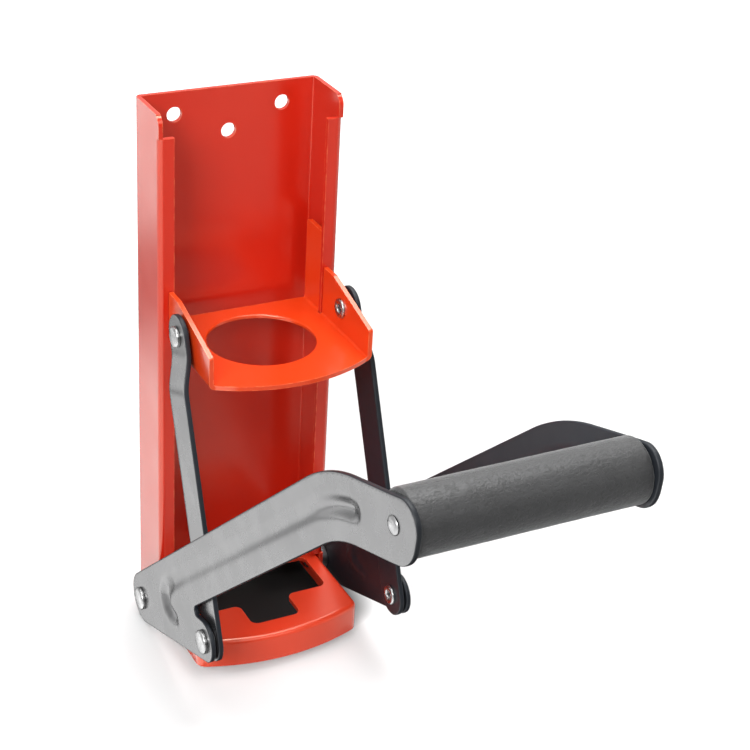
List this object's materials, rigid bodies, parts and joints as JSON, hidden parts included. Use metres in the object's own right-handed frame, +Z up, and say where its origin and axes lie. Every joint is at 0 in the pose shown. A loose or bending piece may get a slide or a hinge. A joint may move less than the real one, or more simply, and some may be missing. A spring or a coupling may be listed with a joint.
{
  "type": "lever can crusher",
  "caption": "Wall-mounted can crusher: a bent lever with a foam grip pulls a crush plate down a folded steel channel through two side links, onto a tray base.",
  "frame": {"origin": "middle of the bottom edge of the channel's back face, in the wall plane", "axes": "+Y into the wall, +X to the right along the wall seen from in front, +Z up along the channel"},
  "size_m": [0.1006, 0.2693, 0.2525],
  "materials": {
    "frame_paint": "gloss red powder coat on folded sheet steel",
    "tray_paint": "gloss orange-red powder coat on pressed sheet steel",
    "arm_paint": "satin dark grey paint on flat steel",
    "rivet_steel": "bright plated rivet steel",
    "washer_steel": "zinc-plated steel",
    "bar_steel": "plain drawn steel bar with headed ends",
    "grip_foam": "matt black closed-cell foam"
  },
  "bodies": {
    "frame": {"frame_channel": "frame_paint", "base_tray": "tray_paint", "pivot_rivet_left": "rivet_steel", "pivot_rivet_right": "rivet_steel", "pivot_spacer_left": "washer_steel", "pivot_spacer_right": "washer_steel"},
    "lever": {"arm_left": "arm_paint", "arm_right": "arm_paint", "handle_bar": "bar_steel", "foam_grip": "grip_foam", "link_rivet_left": "rivet_steel", "link_rivet_right": "rivet_steel", "link_washer_left": "washer_steel", "link_washer_right": "washer_steel"},
    "left_link_body": {"link_left": "arm_paint", "upper_rivet_left": "rivet_steel"},
    "right_link_body": {"link_right": "arm_paint", "upper_rivet_right": "rivet_steel"},
    "plate": {"crush_plate": "tray_paint", "upper_rivet_tail_left": "rivet_steel", "upper_rivet_tail_right": "rivet_steel"}
  },
  "joints": [
    {"name": "lever_pivot", "type": "hinge", "parent": "frame", "child": "lever", "pos_m": [0, -0.0202, 0.0075], "axis": [1, 0, 0], "range_deg": [0, 105]},
    {"name": "plate_slide", "type": "slide", "parent": "frame", "child": "plate", "axis": [0, 0, 1], "range_m": [-0.09899, 0]},
    {"name": "left_link_pivot", "type": "hinge", "parent": "lever", "child": "left_link_body", "pos_m": [0, -0.0962, 0.0342], "axis": [1, 0, 0], "range_deg": [-74.14, 0]},
    {"name": "right_link_pivot", "type": "hinge", "parent": "lever", "child": "right_link_body", "pos_m": [0, -0.0962, 0.0342], "axis": [1, 0, 0], "range_deg": [-74.14, 0]}
  ],
  "couplings": [
    {"joint": "plate_slide", "follows": "lever_pivot", "m_per_rad": -0.05401},
    {"joint": "left_link_pivot", "follows": "lever_pivot", "ratio": -0.70594},
    {"joint": "right_link_pivot", "follows": "lever_pivot", "ratio": -0.70594}
  ]
}
